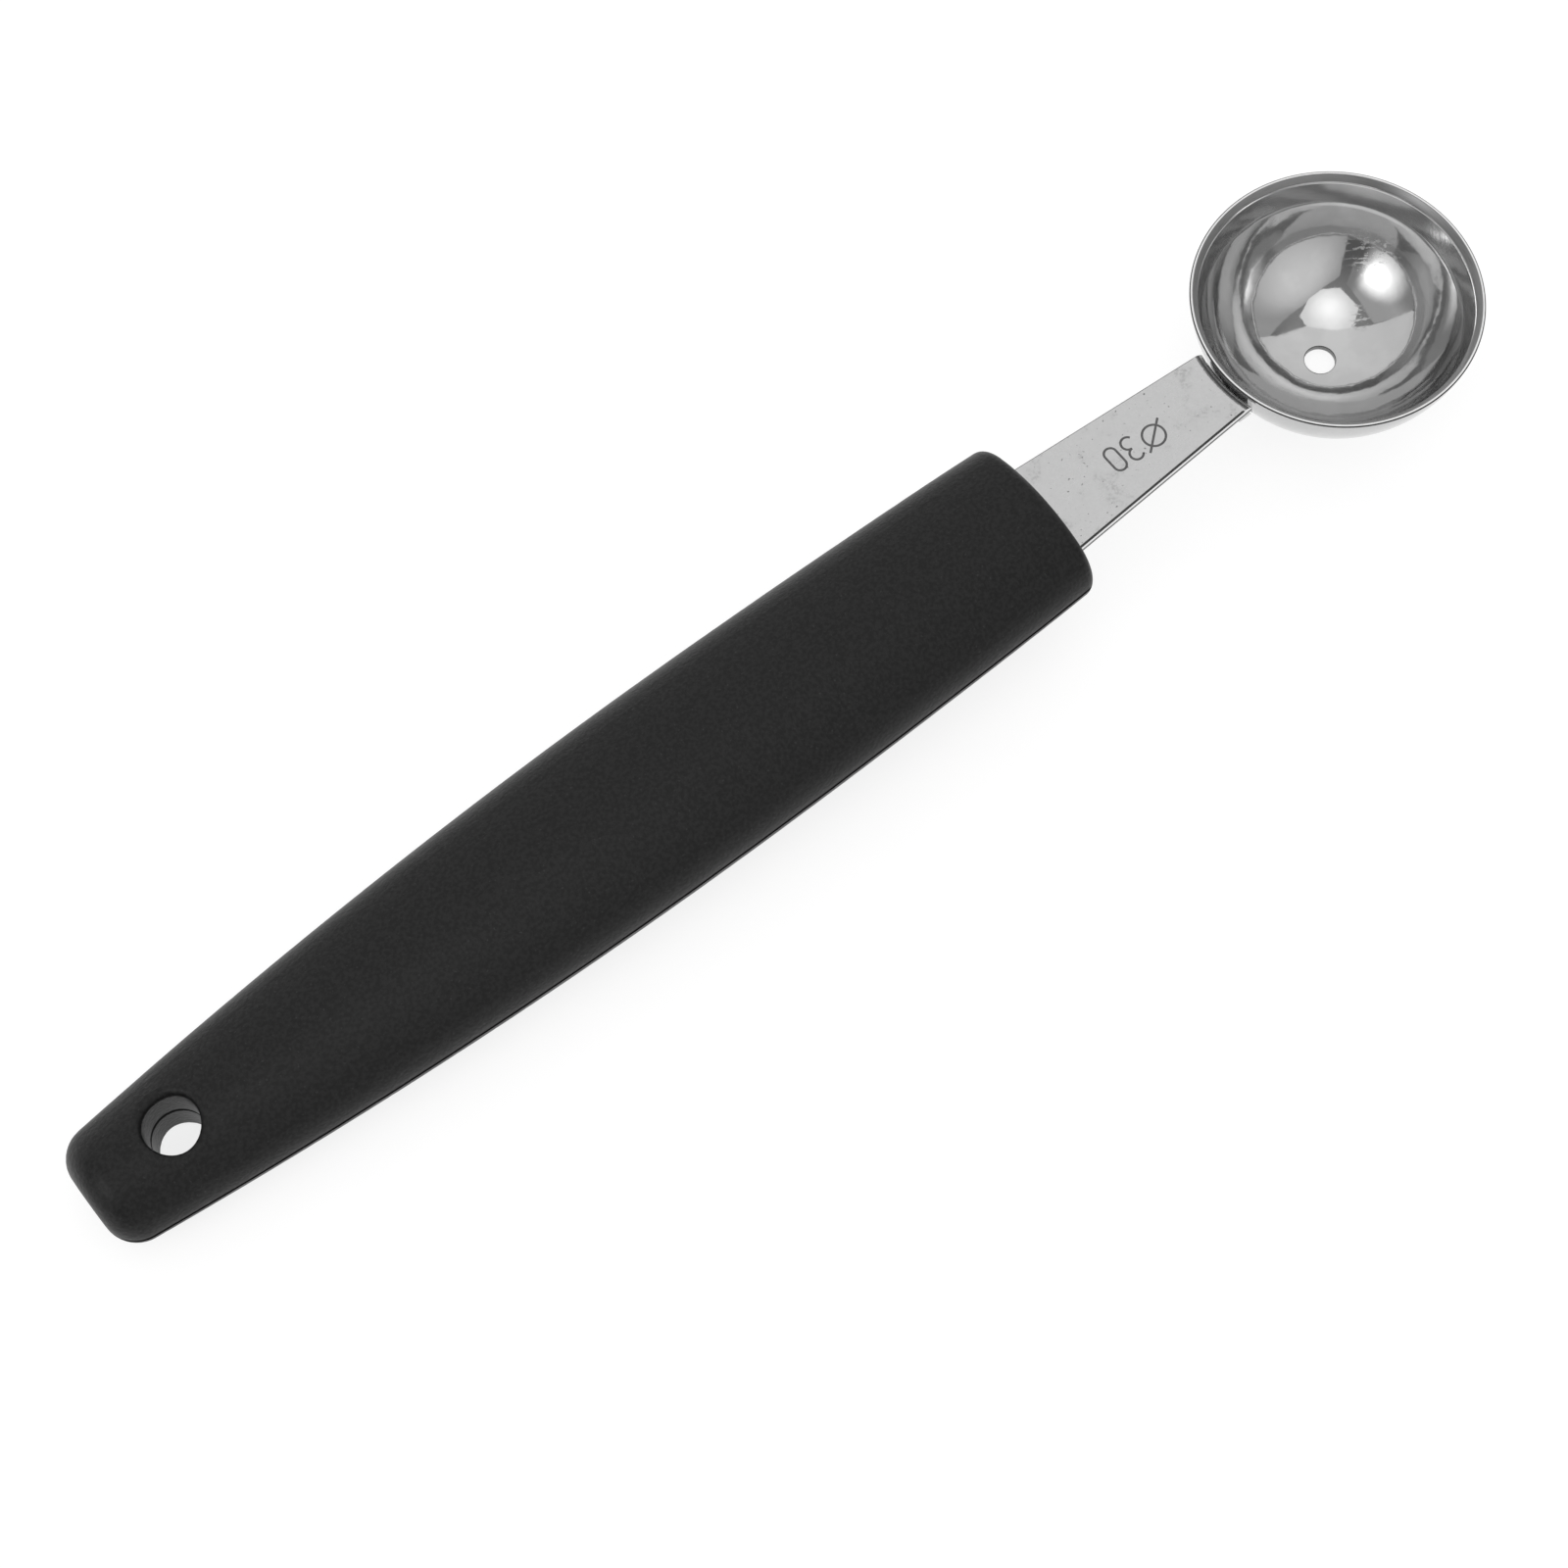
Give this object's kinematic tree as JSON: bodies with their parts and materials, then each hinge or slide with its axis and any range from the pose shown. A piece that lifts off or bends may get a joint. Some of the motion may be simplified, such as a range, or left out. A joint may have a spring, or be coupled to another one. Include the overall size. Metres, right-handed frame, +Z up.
{
  "type": "melon baller",
  "caption": "Melon baller: a sharp-edged polished steel scoop with a vent hole, spot-welded to a flat tapered steel shank whose tang is clamped in a black two-shell plastic handle.",
  "frame": {"origin": "under the middle of the overall length, on the middle plane, level with the lowest edge of the bowl", "axes": "+X from the handle towards the tip of the bowl, +Z up out of the bowl's mouth, +Y to the left seen from the handle"},
  "size_m": [0.1668, 0.03, 0.0189],
  "materials": {
    "polished_steel": "mirror-polished stainless steel with fine rub marks",
    "satin_steel": "satin-ground stainless steel sheet with faint stains",
    "black_plastic": "matte moulded plastic with a fine grain"
  },
  "bodies": {
    "root": {"scoop_bowl": "polished_steel", "shank": "satin_steel", "spot_welds": "satin_steel", "handle_upper_shell": "black_plastic", "handle_lower_shell": "black_plastic"}
  },
  "joints": []
}
